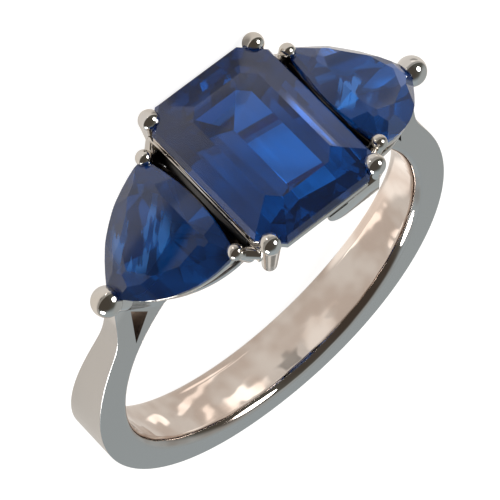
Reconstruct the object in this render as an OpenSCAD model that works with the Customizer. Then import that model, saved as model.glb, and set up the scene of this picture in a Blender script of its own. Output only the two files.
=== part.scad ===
// Three stone ring: a step cut centre sapphire between two trillion cut sapphires,
// claw set on a tapered shank with split shoulders.
// Lengths are in millimetres. The ring is drawn around its finger hole: X runs across the
// finger, Y along it and Z up through the centre stone. lie_on_side() then rests it on a table,
// with the origin on the table below the middle of the whole ring.

/* [Finger hole] */
// Radius of the finger hole
hole_r = 8.5; // [7.5:0.1:10]
// Radial thickness of the gallery that closes the hole under the stones
bridge_t = 0.6; // [0.5:0.1:0.9]
// Width of each end of the gallery, along the finger
bridge_w = 0.9; // [0.7:0.1:1.2]
// Width of the gallery under the centre stone, where it splits into two rails
gallery_w = 3.7; // [3:0.1:4.2]
// Width of each of those two rails
gallery_rail_w = 0.45; // [0.4:0.05:0.7]

/* [Shank] */
// Width of the shank at the bottom, along the finger
shank_w = 3.1; // [2.6:0.1:3.6]
// Width of the shoulders at their tops
shoulder_w = 0.55; // [0.5:0.05:0.8]
// Radial thickness of the shank at the bottom
shank_t = 1.29; // [1.1:0.01:1.6]
// Extra radial thickness at the sides
side_swell = 0.41; // [0:0.01:0.6]
// Distance from the middle to the straight outside of a shoulder
shoulder_x = 8.45; // [8.3:0.05:8.7]
// Height of the top of a shoulder above the middle of the hole
shoulder_z = 9.1; // [8.8:0.1:9.3]

/* [Shoulder window] */
// Distance of the window's outer edge from the middle
window_x = 7.66; // [7.5:0.02:7.8]
// Height of the window's lower corner
window_low_z = 5.05; // [4.8:0.05:5.4]
// Height of the window's upper outer corner
window_high_z = 7.67; // [7.4:0.01:7.9]
// Width of the window along its upper edge, measured across the finger
window_w = 0.84; // [0.6:0.02:1]

/* [Centre stone] */
// Width of the centre stone across the finger
centre_w = 6.5; // [6:0.1:6.6]
// Length of the centre stone along the finger
centre_l = 8.55; // [8:0.05:8.8]
// Height of the centre stone's girdle above the middle of the hole
centre_z = 12.8; // [12.7:0.05:13]
// Crown height from the girdle to the table
centre_crown = 0.88; // [0.7:0.02:1]
// Pavilion depth from the girdle to the keel
centre_depth = 3.1; // [2.8:0.1:3.2]
// Length of the keel, the edge where the long sides of the pavilion meet
keel_l = 3.6; // [2:0.1:4]
// Cut corner as a share of the half width
centre_corner = 0.3; // [0.2:0.02:0.36]

/* [Side stones] */
// Distance between neighbouring corners of a side stone
side_chord = 6.0; // [5.6:0.1:6.1]
// Bulge of the two outer edges
side_bulge = 0.84; // [0.6:0.02:0.9]
// Bulge of the edge beside the centre stone
side_inner_bulge = 0.45; // [0.3:0.05:0.5]
// Distance of the inner corners from the middle, across the finger
side_x = 4.02; // [3.95:0.01:4.2]
// Height of the inner corners above the middle of the hole
side_z = 12.15; // [12:0.05:12.3]
// Slope of a side stone, down towards its tip
side_slope = 32; // [28:1:34]
// Crown height of a side stone
side_crown = 0.62; // [0.5:0.02:0.7]
// Pavilion depth of a side stone
side_depth = 2.3; // [2:0.1:2.4]
// Height of the flat girdle of every stone
girdle_t = 0.1; // [0.06:0.02:0.16]

/* [Claws and rails] */
// Radius of the centre claws' rounded tips
centre_claw_r = 0.49; // [0.45:0.01:0.52]
// Radius of the centre claws at their feet
centre_foot_r = 0.34; // [0.3:0.01:0.45]
// Radius of the side stones' small inner tips
small_claw_r = 0.38; // [0.34:0.01:0.42]
// Radius of the claw tip at a shoulder
tip_claw_r = 0.7; // [0.6:0.02:0.75]
// Height of the rails under the girdles
rail_h = 0.35; // [0.25:0.05:0.45]
// Thickness of the rails and of the walls below them
rail_t = 0.35; // [0.3:0.05:0.4]
// Depth of the side stones' lower rails at the centre stone, below their girdles
lower_rail_drop = 1.05; // [0.9:0.05:1.2]
// Depth of the walls below the centre stone's rail
wall_h = 1; // [0.8:0.05:1.2]
// Gap between a stone and the metal
stone_gap = 0.03; // [0.02:0.01:0.06]

/* [Hidden] */
$fn = 64;
metal = "#c9c9c6";
sapphire = "#14204f";
eps = 0.01;

// Distance of the centre stone's table from its girdle, seen from above.
table_inset = 1.44;

// Claw places, as centres of the rounded tips and of the feet.
centre_tip = [centre_w / 2 - 0.35, centre_l / 2 - 0.38, centre_z + 0.16];
centre_foot = [centre_tip.x - 0.25, centre_tip.y - 0.3, centre_z - 2.3];
small_tip = [side_x - 0.08, side_chord / 2 - 0.05, side_z + 0.1];
side_reach = side_chord * sqrt(3) / 2;
tip_out = side_reach + 0.24;
shoulder_tip = [side_x + tip_out * cos(side_slope), 0, side_z - tip_out * sin(side_slope)];

// Rails start a little below the girdles, and the side stones' lower rails rise to meet them.
rail_gap = 0.1;
rail_low = centre_z - girdle_t / 2 - rail_gap - rail_h;
lower_rail_rise = 10;

// How gently the swelling starts at the bottom, and how gently it runs into the shoulders.
swell_start = 0.2;
shoulder_blend = 0.5;

// The ring lies on two centre claws and on the lower back edge of the shank.
bottom_r = outer_r(0);
rest_rise = centre_tip.z + bottom_r;
rest_step = centre_tip.y - shank_w / 2;
lean = atan(rest_step / rest_rise) + asin(centre_claw_r / norm([rest_rise, rest_step]));
rest_drop = shank_w / 2 * cos(lean) + bottom_r * sin(lean);
head_reach = (centre_z + centre_crown) * cos(lean) + (centre_l / 2 - table_inset) * sin(lean);
shank_reach = bottom_r * cos(lean) + shank_w / 2 * sin(lean);

function smooth_max(a, b, blend) = (a + b + sqrt((a - b) ^ 2 + blend ^ 2)) / 2;
function polar(r, a) = [r * sin(a), -r * cos(a)];
function mirrored(points) = [for (i = [len(points) - 1:-1:0]) [-points[i].x, points[i].y]];

// Outside of the shank at an angle from the bottom: a swelling round that runs into a straight.
function swell(a) = side_swell * (norm([sin(a), swell_start]) - swell_start);
function outer_r(a) =
    smooth_max(hole_r + shank_t + swell(a), a < 90 ? shoulder_x : shoulder_x / sin(a), shoulder_blend);
shoulder_a = 180 - atan(shoulder_x / shoulder_z);

// Where the top of a shoulder runs into the gallery, and the angle of that place.
shoulder_foot = [5.6, 7.4];
bridge_a = 144;

// Half the width of the shank at a height, falling faster and faster towards the stones.
taper_low = -bottom_r;
taper_high = 8.6;
function taper(t) = 0.4 * t + 0.6 * t * t;
function half_width(z) =
    (shank_w - (shank_w - shoulder_w) * taper(min(1, max(0, (z - taper_low) / (taper_high - taper_low))))) / 2;

// Rests the ring on its side, the stones towards the front.
module lie_on_side() {
    translate([0, (head_reach - shank_reach) / 2, rest_drop])
        rotate([90 - lean, 0, 0]) rotate([0, 0, 180]) children();
}

module both_sides() {
    children();
    mirror([1, 0, 0]) children();
}

module four_corners() {
    both_sides() {
        children();
        mirror([0, 1, 0]) children();
    }
}

// Places something in a side stone's own frame: X to its tip, Z out of its table.
module on_side_stone(side) {
    mirror([side < 0 ? 1 : 0, 0, 0])
        translate([side_x, 0, side_z]) rotate([0, side_slope, 0]) children();
}

module bar(from, to, r, end_r = undef) {
    run = to - from;
    translate(from) rotate([0, acos(run.z / norm(run)), atan2(run.y, run.x)])
        cylinder(r1 = r, r2 = is_undef(end_r) ? r : end_r, h = norm(run));
}

// Centre stone: one octagon for each level of steps.
function octagon(hx, hy, c) = [
    [hx, -hy + c], [hx, hy - c], [hx - c, hy], [c - hx, hy],
    [-hx, hy - c], [-hx, c - hy], [c - hx, -hy], [hx - c, -hy]
];
function centre_level(inset, end_inset) =
    octagon(centre_w / 2 - inset, centre_l / 2 - end_inset, centre_corner * (centre_w / 2 - inset));

// Each level is its inset from the girdle at the long sides and at the ends, and its height.
// The ends of the pavilion are steeper than its sides, which leaves the keel.
keel_inset = centre_w / 2 - 0.02;
pavilion_levels = 3;
centre_levels = [
    [keel_inset, (centre_l - keel_l) / 2, -centre_depth],
    [keel_inset * 0.51, 1.3, -centre_depth * 0.66],
    [keel_inset * 0.2, 0.5, -centre_depth * 0.32],
    [0, 0, -girdle_t / 2],
    [0, 0, girdle_t / 2],
    [0.15, 0.15, centre_crown * 0.37],
    [1.02, 1.02, centre_crown * 0.76],
    [table_inset, table_inset, centre_crown]
];

module centre_gem(grow) {
    top = len(centre_levels) - 1;
    points = [
        for (i = [0:top], p = centre_level(centre_levels[i].x - grow, centre_levels[i].y - grow))
            [p.x, p.y, centre_z + centre_levels[i].z + grow * (i <= pavilion_levels ? -1 : 1)]
    ];
    faces = [
        [for (k = [0:7]) k],
        for (i = [0:top - 1], k = [0:7]) [
            i * 8 + k, (i + 1) * 8 + k, (i + 1) * 8 + (k + 1) % 8, i * 8 + (k + 1) % 8
        ],
        [for (k = [7:-1:0]) top * 8 + k]
    ];
    polyhedron(points, faces);
}

// Side stones: a curved triangle, cut by flat facets above and below its girdle.
function arc_edge(a, b, bulge, steps) =
    let (
        chord = norm(b - a), r = (chord * chord / 4 + bulge * bulge) / (2 * bulge),
        half = asin(chord / 2 / r), along = (b - a) / chord, out = [along.y, -along.x],
        middle = (a + b) / 2 - out * (r - bulge)
    )
    [for (i = [0:steps - 1]) let (t = half * (2 * i / steps - 1))
        middle + r * (along * sin(t) + out * cos(t))];

corner_a = [0, -side_chord / 2];
corner_b = [side_reach, 0];
corner_c = [0, side_chord / 2];
side_outline = concat(
    arc_edge(corner_a, corner_b, side_bulge, 12),
    arc_edge(corner_b, corner_c, side_bulge, 12),
    arc_edge(corner_c, corner_a, side_inner_bulge, 12)
);
side_middle = [side_reach / 3, 0];
function reach(a) = max([for (p = side_outline) (p - side_middle) * [cos(a), sin(a)]]);

// A facet is a direction, the slope it is cut at, and its height over the middle of the stone.
function slope_to(rise, run) = atan(rise / run);
function table_reach(a) = reach(a) * 0.62;
function table_slope(a) = slope_to(side_crown, reach(a) - table_reach(a));
crown_facets = [
    [0, 0, girdle_t / 2 + side_crown],
    for (a = [0:60:300]) let (s = table_slope(a)) [a, s, girdle_t / 2 + reach(a) * tan(s)],
    for (a = [15:30:345]) let (s = table_slope(a) + 7) [a, s, girdle_t / 2 + reach(a) * tan(s)],
    for (a = [30:60:330]) let (s = slope_to(side_crown * 0.5, reach(a) * 0.45))
        [a, s, girdle_t / 2 + side_crown + table_reach(a) * tan(s) * 0.92]
];
pavilion_facets = [
    for (a = [0:60:300]) [a, slope_to(side_depth, reach(a)), side_depth],
    for (a = [15:30:345]) let (s = slope_to(side_depth, reach(a)) + 6)
        [a, s, girdle_t / 2 + reach(a) * tan(s)]
];

// Planes are [outward normal, distance]. A stone's corners are the places where three planes
// meet inside all the others.
function facet_plane(facet, up, grow) =
    let (n = [sin(facet[1]) * cos(facet[0]), sin(facet[1]) * sin(facet[0]), up * cos(facet[1])])
    [n, n * [side_middle.x, side_middle.y, up * facet[2]] + grow];
function wall_planes(outline, grow) = [
    for (i = [0:len(outline) - 1])
        let (a = outline[i], b = outline[(i + 1) % len(outline)], n = [b.y - a.y, a.x - b.x, 0] / norm(b - a))
        [n, n * [a.x, a.y, 0] + grow]
];
function meet(f, g, h) =
    let (d = f[0] * cross(g[0], h[0]))
    abs(d) < 1e-6 ? undef
        : (f[1] * cross(g[0], h[0]) + g[1] * cross(h[0], f[0]) + h[1] * cross(f[0], g[0])) / d;
function inside(p, planes) = p != undef && max([for (f = planes) f[0] * p - f[1]]) < 1e-5;
function cut_corners(cuts, walls) =
    let (n = len(cuts), w = len(walls), planes = concat(cuts, walls))
    [
        for (i = [0:n - 3], j = [i + 1:n - 2], k = [j + 1:n - 1])
            let (p = meet(cuts[i], cuts[j], cuts[k])) if (inside(p, planes)) p,
        for (i = [0:n - 2], j = [i + 1:n - 1], wall = walls)
            let (p = meet(cuts[i], cuts[j], wall)) if (inside(p, planes)) p,
        for (cut = cuts, i = [0:w - 1])
            let (p = meet(cut, walls[i], walls[(i + 1) % w])) if (inside(p, planes)) p
    ];
function side_gem_corners(grow) =
    let (walls = wall_planes(side_outline, grow))
    concat(
        cut_corners([for (f = crown_facets) facet_plane(f, 1, grow)], walls),
        cut_corners([for (f = pavilion_facets) facet_plane(f, -1, grow)], walls)
    );

module side_gem(grow) {
    points = side_gem_corners(grow);
    hull() polyhedron(points, [for (i = [0:len(points) - 3]) [i, i + 1, i + 2]]);
}

// The mount, soldered from shank, claws, rails and wires.
module front_view() {
    half = concat(
        [for (a = [0:2:shoulder_a]) polar(outer_r(a), a)],
        [[shoulder_x, shoulder_z], shoulder_foot],
        [for (a = [bridge_a:4:180]) polar(hole_r + bridge_t, a)]
    );
    polygon(concat(half, mirrored([for (i = [1:len(half) - 2]) half[i]])));
}

module side_view() {
    steps = 24;
    low = taper_low - 1;
    high = shoulder_z + 1;
    edge = [for (i = [0:steps]) let (z = low + (high - low) * i / steps) [half_width(z), z]];
    polygon(concat(edge, mirrored(edge)));
}

module shoulder_window() {
    slant = 0.9;
    rotate([90, 0, 0]) linear_extrude(shank_w, center = true) polygon([
        [window_x, window_high_z], [window_x, window_low_z], [window_x - window_w, window_high_z - slant]
    ]);
}

// Outlines of the gallery and of its opening, seen through the finger hole from the stones.
gallery_end = polar(hole_r, bridge_a).x;
gallery_flat = 3;
opening_end = 4.6;
function ease(t) = t * t * (3 - 2 * t);
function spread(x, from, to) = ease(min(1, max(0, (from - abs(x)) / (from - to))));
module gallery_outline(end, end_half, middle_half) {
    steps = 32;
    edge = [for (i = [0:steps]) let (x = end * (2 * i / steps - 1))
        [x, end_half + (middle_half - end_half) * spread(x, end, gallery_flat)]];
    polygon(concat([for (p = edge) [p.x, -p.y]], [for (i = [steps:-1:0]) edge[i]]));
}

module gallery() {
    outer = hole_r + bridge_t;
    low = polar(hole_r, bridge_a).y;
    intersection() {
        rotate([90, 0, 0]) cylinder(r = outer - eps, h = gallery_w + 1, center = true);
        translate([0, 0, low]) linear_extrude(outer) gallery_outline(gallery_end, bridge_w / 2, gallery_w / 2);
    }
}

module shank() {
    difference() {
        union() {
            gallery();
            intersection() {
                rotate([90, 0, 0]) linear_extrude(shank_w + 1, center = true) front_view();
                rotate([90, 0, 90]) linear_extrude(2 * shoulder_x + 4, center = true) side_view();
            }
        }
        both_sides() shoulder_window();
        translate([0, 0, hole_r / 2]) linear_extrude(hole_r)
            gallery_outline(opening_end, eps, gallery_w / 2 - gallery_rail_w);
    }
}

module centre_claw() {
    bar(centre_foot, centre_tip, centre_foot_r, centre_claw_r - eps);
    translate(centre_foot) sphere(r = centre_foot_r);
    translate(centre_tip) sphere(r = centre_claw_r);
}

module centre_rail() {
    translate([0, 0, rail_low]) linear_extrude(rail_h) difference() {
        polygon(centre_level(0, 0));
        polygon(centre_level(rail_t, rail_t));
    }
}

// Walls close the basket beside the two side stones.
module basket_wall() {
    length = 2 * centre_foot.y;
    translate([centre_w / 2 - rail_t, -length / 2, rail_low - wall_h]) cube([rail_t - eps, length, wall_h + eps]);
}

// A plate with a rounded corner and a slot closes the front of the basket beside one claw.
module gallery_plate() {
    corner = 1.1;
    low = rail_low - wall_h;
    slot = [1.02, 0.12];
    slot_x = 0.08;
    translate([0, (rail_t - centre_l) / 2, 0]) rotate([90, 0, 0])
        linear_extrude(rail_t - eps, center = true) difference() {
            union() {
                translate([corner, low]) square([centre_tip.x - corner, wall_h + eps]);
                intersection() {
                    translate([corner, rail_low]) circle(r = corner);
                    translate([0, low]) square([corner + eps, wall_h + eps]);
                }
            }
            translate([slot_x, rail_low - slot.y]) square(slot);
        }
}

// A rail below a side stone's girdle.
module side_rail(height) {
    linear_extrude(height) difference() {
        polygon(side_outline);
        offset(delta = -rail_t) polygon(side_outline);
    }
}

module side_basket() {
    small_top = [small_tip.x - side_x, small_tip.y, 0.1];
    small_foot = small_top - [0, 0, lower_rail_drop + rail_h];
    stem_r = small_claw_r - 0.05;
    rail_top = -girdle_t / 2 - rail_gap;
    for (flip = [0, 1]) mirror([0, flip, 0]) {
        bar(small_foot, small_top, stem_r);
        translate(small_foot) sphere(r = stem_r);
        translate(small_top) sphere(r = small_claw_r);
    }
    translate([0, 0, rail_top - rail_h]) side_rail(rail_h);
    translate([0, 0, -lower_rail_drop - rail_h]) rotate([0, -lower_rail_rise, 0]) side_rail(rail_h);
}

module tip_claw() {
    neck_r = tip_claw_r - 0.2;
    neck = [shoulder_x - neck_r - 0.12, 0, shoulder_z - 0.7];
    bar(neck, shoulder_tip, neck_r);
    translate(shoulder_tip) sphere(r = tip_claw_r);
}

// Joins a small claw to the centre claw beside it, below the girdles.
module basket_strut() {
    strut_r = 0.28;
    bar(small_tip - [0.25, 0, 0.4], centre_tip - [0.1, 0.1, 1.1], strut_r);
}

module ring_mount() {
    color(metal) lie_on_side() difference() {
        union() {
            shank();
            four_corners() {
                centre_claw();
                basket_strut();
            }
            centre_rail();
            both_sides() basket_wall();
            gallery_plate();
            for (side = [-1, 1]) on_side_stone(side) side_basket();
            both_sides() tip_claw();
        }
        rotate([90, 0, 0]) cylinder(r = hole_r, h = 3 * shank_w, center = true);
        centre_gem(stone_gap);
        for (side = [-1, 1]) on_side_stone(side) side_gem(stone_gap);
    }
}

module centre_stone() {
    color(sapphire) lie_on_side() centre_gem(0);
}

module side_stone(side) {
    color(sapphire) lie_on_side() on_side_stone(side) side_gem(0);
}

// Left and right as seen from the front of the ring as it lies.
module left_side_stone() { side_stone(1); }
module right_side_stone() { side_stone(-1); }

ring_mount();
centre_stone();
left_side_stone();
right_side_stone();
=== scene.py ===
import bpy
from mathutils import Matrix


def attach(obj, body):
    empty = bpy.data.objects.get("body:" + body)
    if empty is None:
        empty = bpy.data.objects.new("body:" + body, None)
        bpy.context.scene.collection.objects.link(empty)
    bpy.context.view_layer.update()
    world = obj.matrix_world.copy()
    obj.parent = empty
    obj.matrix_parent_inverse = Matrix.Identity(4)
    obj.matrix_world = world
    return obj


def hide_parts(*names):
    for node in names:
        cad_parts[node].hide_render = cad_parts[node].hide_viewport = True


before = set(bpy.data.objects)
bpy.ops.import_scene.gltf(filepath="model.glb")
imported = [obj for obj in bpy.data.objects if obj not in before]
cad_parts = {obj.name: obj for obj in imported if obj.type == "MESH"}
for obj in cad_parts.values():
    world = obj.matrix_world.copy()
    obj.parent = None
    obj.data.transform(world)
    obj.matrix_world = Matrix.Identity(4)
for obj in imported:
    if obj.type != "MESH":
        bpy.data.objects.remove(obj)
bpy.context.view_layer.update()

import math

import bmesh
import bpy
from bpy.props import FloatProperty, FloatVectorProperty, PointerProperty
from mathutils import Matrix, Vector

bl_info = {
    "name": "Sapphire ring",
    "version": (1, 0, 0),
    "blender": (4, 5, 0),
    "location": "View3D > Sidebar > Ring",
    "description": "Dresses a claw set sapphire ring and lights it on a pale floor",
    "category": "Add Mesh",
}

# The ring is worked out in millimetres around its finger hole: X across the finger, Y along it,
# Z up through the centre stone. to_row() then lays it on its side and turns it into metres.
MM = 0.001
WORKSHOP = "ring_workshop"


def srgb(code):
    """Turns a hex sRGB colour into the linear colour that shaders take."""
    parts = [int(code[i:i + 2], 16) / 255 for i in (1, 3, 5)]
    return tuple(p / 12.92 if p <= 0.04045 else ((p + 0.055) / 1.055) ** 2.4 for p in parts) + (1.0,)


def number(name, description, default, **more):
    return FloatProperty(name=name, description=description, default=default, **more)


def size(name, description, mm):
    return number(name, description, mm * MM, min=0.0, precision=5, unit="LENGTH", subtype="DISTANCE")


def degrees(name, description, turn):
    return number(name, description, math.radians(turn), unit="ROTATION", subtype="ANGLE")


def colour(name, description, code):
    return FloatVectorProperty(name=name, description=description, default=srgb(code), size=4, min=0.0,
                               max=1.0, subtype="COLOR")


class RingBandSizes(bpy.types.PropertyGroup):
    """Sizes of the shank, its shoulders and the gallery."""

    hole_radius: size("Finger hole radius", "Inside radius of the band", 8.5)
    thickness: size("Thickness", "Radial thickness at the bottom", 1.29)
    swell: size("Swell", "Extra radial thickness at the sides", 0.41)
    width: size("Width", "Width at the bottom, along the finger", 3.1)
    shoulder_width: size("Shoulder width", "Width at the tops of the shoulders", 0.55)
    shoulder_out: size("Shoulder distance", "Distance of a shoulder's outside from the middle", 8.45)
    shoulder_top: size("Shoulder height", "Height of a shoulder's top above the middle", 9.1)
    gallery: size("Gallery thickness", "Radial thickness of the gallery under the stones", 0.6)
    gallery_end: size("Gallery end width", "Width of each end of the gallery along the finger", 0.9)
    gallery_width: size("Gallery width", "Width where the gallery is split into two rails", 3.7)
    gallery_rail: size("Gallery rail width", "Width of each of those rails", 0.45)
    window_out: size("Window distance", "Distance of the shoulder window from the middle", 7.66)
    window_low: size("Window low corner", "Height of the window's low corner", 5.05)
    window_high: size("Window high corner", "Height of the window's outer high corner", 7.67)
    window_width: size("Window width", "Width of the window at its top", 0.84)
    edge: size("Edge rounding", "Rounding of the outer edges", 0.06)
    inner_edge: size("Inner edge rounding", "Rounding of the edges beside the finger", 0.34)
    inner_roll: size("Inner edge roll", "How far that rounding runs in from the sides", 0.5)


class RingHeadSizes(bpy.types.PropertyGroup):
    """Sizes of the stones' places, their claws and rails."""

    stone_width: size("Centre stone width", "Across the finger", 6.5)
    stone_length: size("Centre stone length", "Along the finger", 8.55)
    stone_height: size("Centre stone height", "Height of its girdle above the middle", 12.8)
    side_chord: size("Side stone chord", "Distance between a side stone's corners", 6.0)
    side_bulge: size("Side stone bulge", "Bulge of its two outer edges", 0.84)
    side_inner_bulge: size("Side stone inner bulge", "Bulge of its edge beside the centre stone", 0.45)
    side_out: size("Side stone distance", "Distance of its inner corners from the middle", 4.02)
    side_height: size("Side stone height", "Height of its inner corners", 12.15)
    side_slope: degrees("Side stone slope", "Slope down towards the tip", 32)
    centre_claw: size("Centre claw radius", "Radius of its rounded tip", 0.49)
    centre_claw_foot: size("Centre claw foot radius", "Radius at its foot", 0.34)
    small_claw: size("Small claw radius", "Radius of its rounded tip", 0.38)
    tip_claw: size("Tip claw radius", "Radius of the claw tips at the shoulders", 0.7)
    rail_height: size("Rail height", "Height of the rails under the girdles", 0.35)
    rail: size("Rail thickness", "Thickness of rails and walls", 0.35)
    wall: size("Wall depth", "Depth of the walls below the centre rail", 1.0)
    lower_rail_drop: size("Lower rail drop", "Depth of the side stones' lower rails", 1.05)
    gap: size("Seat gap", "Gap between a stone and the metal", 0.03)


class RingFinish(bpy.types.PropertyGroup):
    """Colours of the metal and the stones."""

    metal: colour("White gold", "Colour of the plated white gold", "#dfdcd9")
    metal_warm: colour("White gold, warm", "The same, where the plating is rubbed thin", "#dbd5cd")
    metal_satin: colour("White gold, satin", "Colour of the satin outside", "#c5c1bd")
    # The flats' and the inside's colours are darker partly for their finish and wear, partly as painted
    # shade.
    metal_flat: colour("White gold, flats", "Colour of the brushed flat sides", "#d0cdca")
    metal_inside: colour("White gold, inside", "Colour inside the band", "#dbd2cb")
    metal_worn: colour("White gold, worn", "The same, where wear has taken the plating off", "#c7b8ae")
    # Painted shade: a dark colour in the narrow gaps beside and under the centre stone.
    gap_shade: colour("Gap_shade", "Colour of the unpolished metal in the narrow gaps", "#2b2724")
    stone: colour("Sapphire", "Colour that the centre stone lets through at its faces", "#2b6cd0")
    side_stone: colour("Side sapphires", "The same for the two side stones", "#1c5db2")
    silk: colour("Silk", "Colour of the fine needles inside the side stones", "#4790f0")
    stone_depth: colour("Sapphire depth", "Colour left after a long way through a stone", "#76e4e8")
    stone_density: number("Sapphire density", "Light the centre stone takes out, per metre", 500.0, min=0.0)
    side_density: number("Side sapphire density", "The same for the two side stones", 620.0, min=0.0)
    stone_haze: number("Sapphire haze", "Share of light its body scatters", 0.07, min=0.0)
    side_haze: number("Side haze", "The same for the two side stones", 0.2, min=0.0)
    silk_share: number("Silk share", "Share of light that silk scatters besides", 0.4, min=0.0)
    stone_polish: number("Sapphire roughness", "Roughness of the facets", 0.04, min=0.0, max=1.0)


class RingStage(bpy.types.PropertyGroup):
    """The floor, lamps and camera."""

    floor: colour("Floor", "Colour of the pale floor", "#fbf5ee")
    floor_glow: number("Floor glow", "Light that the floor sends to the ring", 0.62)
    floor_far: number("Floor glow far away", "The same, away from the ring", 0.10)
    floor_paper: number("Floor paper", "Share of the lamps' light that the floor scatters", 0.3)
    floor_white: number("Floor white", "Light that the floor sends to the camera", 0.9)
    pool: FloatVectorProperty(name="Pool of light", description="Middle of the bright floor, in mm",
                              default=(-6.0, 0.0), size=2)
    pool_width: number("Pool width", "Width of the pool over its depth", 1.6)
    pool_start: number("Pool start", "Distance in mm at which the pool begins to fade", 17.0)
    pool_end: number("Pool end", "Distance in mm at which it has faded", 31.0)
    lamp_power: number("Lamp strength", "Radiance of the two lamps", 11.0, min=0.0)
    camera_distance: size("Camera distance", "From the camera to the ring", 186.754)
    camera_azimuth: degrees("Camera azimuth", "Camera's angle round the ring", 20.225)
    camera_elevation: degrees("Camera elevation", "Camera's angle above the floor", 27.355)
    camera_roll: degrees("Camera roll", "Turn of the camera about its line of sight", 133.096)
    camera_lens: number("Lens", "Focal length on a 36 mm sensor", 300.04, unit="CAMERA")


class Sizes:
    """A property group read in millimetres."""

    def __init__(self, group):
        self.group = group

    def __getattr__(self, name):
        return getattr(self.group, name) / MM


def band_sizes():
    return Sizes(bpy.context.scene.ring_band)


def head_sizes():
    return Sizes(bpy.context.scene.ring_head)


# How the shank runs. Angles are in degrees from the bottom of the ring.
STATION_STEP = 1.5
SWELL_START = 0.2
SHOULDER_BLEND = 0.5
SHOULDER_FOOT = Vector((5.6, 0, 7.4))
TAPER_HIGH = 8.6
TAPER_EVEN = 0.4
GALLERY_ANGLE = 144
GALLERY_FLAT = 3.0
OPENING_END = 4.6
OPENING_STEPS = 24
WINDOW_SLANT = 0.9


def smooth_max(a, b, blend):
    return (a + b + math.hypot(a - b, blend)) / 2


def outer_radius(angle):
    """Outside of the shank at an angle from the bottom, in degrees."""
    s, turn = band_sizes(), math.radians(angle)
    swell = s.swell * (math.hypot(math.sin(turn), SWELL_START) - SWELL_START)
    straight = s.shoulder_out if angle < 90 else s.shoulder_out / math.sin(turn)
    return smooth_max(s.hole_radius + s.thickness + swell, straight, SHOULDER_BLEND)


def half_width(height):
    """Half the width of the shank at a height, falling faster and faster towards the stones."""
    s = band_sizes()
    low = -outer_radius(0)
    t = min(1, max(0, (height - low) / (TAPER_HIGH - low)))
    taper = TAPER_EVEN * t + (1 - TAPER_EVEN) * t * t
    return (s.width - (s.width - s.shoulder_width) * taper) / 2


def shoulder_angle():
    s = band_sizes()
    return 180 - math.degrees(math.atan(s.shoulder_out / s.shoulder_top))


def spread(x, start):
    """How far the gallery has opened at a distance across the finger, from 0 at its start to 1."""
    t = min(1, max(0, (start - abs(x)) / (start - GALLERY_FLAT)))
    return t * t * (3 - 2 * t)


def gallery_half(x):
    """Half the width that the gallery gains at a distance across the finger."""
    s = band_sizes()
    start = s.hole_radius * math.sin(math.radians(GALLERY_ANGLE))
    return (s.gallery_width - s.gallery_end) / 2 * spread(x, start)


def station(angle):
    """Radius and half width of the band's inside and outside at an angle from the bottom."""
    s, turn = band_sizes(), math.radians(angle)
    tip = shoulder_angle()
    if angle <= tip:
        outer = outer_radius(angle)
    elif angle < GALLERY_ANGLE:
        a, b = Vector((s.shoulder_out, 0, s.shoulder_top)), SHOULDER_FOOT
        ray = Vector((math.sin(turn), 0, -math.cos(turn)))
        side = (b - a).cross(Vector((0, 1, 0)))
        outer = side.dot(a) / side.dot(ray)
    else:
        outer = s.hole_radius + s.gallery
    inner_half = half_width(-s.hole_radius * math.cos(turn))
    outer_half = half_width(-outer * math.cos(turn))
    blend = min(1, max(0, (angle - tip) / (GALLERY_ANGLE - tip)))
    widen = blend * (s.gallery_end - s.shoulder_width) / 2
    if angle > GALLERY_ANGLE:
        inner_half += gallery_half(s.hole_radius * math.sin(turn))
        outer_half += gallery_half(outer * math.sin(turn))
    return (s.hole_radius, inner_half + widen, 0), (outer, outer_half + widen, 0)


# Shapes of the stones and the rails under them.
TABLE_INSET = 1.44
CENTRE_CROWN = 0.88
CORNER_CUT = 0.3
GIRDLE = 0.1
RAIL_GAP = 0.1
LOWER_RAIL_RISE = math.radians(10)

# Where claws and struts stand: from a stone's corner, from each other or from the shoulder's top.
CENTRE_TIP = (-0.35, -0.38, 0.16)
CENTRE_FOOT = (-0.25, -0.3, -2.3)
SMALL_TIP = (-0.08, -0.05, 0.1)
TIP_CLAW_OUT = 0.24
TIP_CLAW_FOOT = (-0.12, 0, -0.7)
STRUT_START = Vector((0.25, 0, 0.4))
STRUT_END = Vector((0.1, 0.1, 1.1))
STRUT_RADIUS = 0.28

# How much thinner a claw's stem is than its tip.
CENTRE_NECK = 0.01
SMALL_NECK = 0.05
TIP_NECK = 0.2


def beside(place, offset):
    return Vector([a + b for a, b in zip(place, offset)])


def centre_tip():
    s = head_sizes()
    return beside((s.stone_width / 2, s.stone_length / 2, s.stone_height), CENTRE_TIP)


def centre_foot():
    tip = centre_tip()
    return beside((tip.x, tip.y, head_sizes().stone_height), CENTRE_FOOT)


def small_tip():
    s = head_sizes()
    return beside((s.side_out, s.side_chord / 2, s.side_height), SMALL_TIP)


def side_reach():
    return head_sizes().side_chord * math.sqrt(3) / 2


def shoulder_tip():
    s = head_sizes()
    slope, out = s.group.side_slope, side_reach() + TIP_CLAW_OUT
    return Vector((s.side_out + out * math.cos(slope), 0, s.side_height - out * math.sin(slope)))


def rail_low():
    s = head_sizes()
    return s.stone_height - GIRDLE / 2 - RAIL_GAP - s.rail_height


def on_side_stone():
    """From the frame of the side stone at +X to the ring's: X to its tip, Z out of its table."""
    s = head_sizes()
    turn = Matrix.Rotation(s.group.side_slope, 4, "Y")
    return Matrix.Translation((s.side_out, 0, s.side_height)) @ turn


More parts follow.
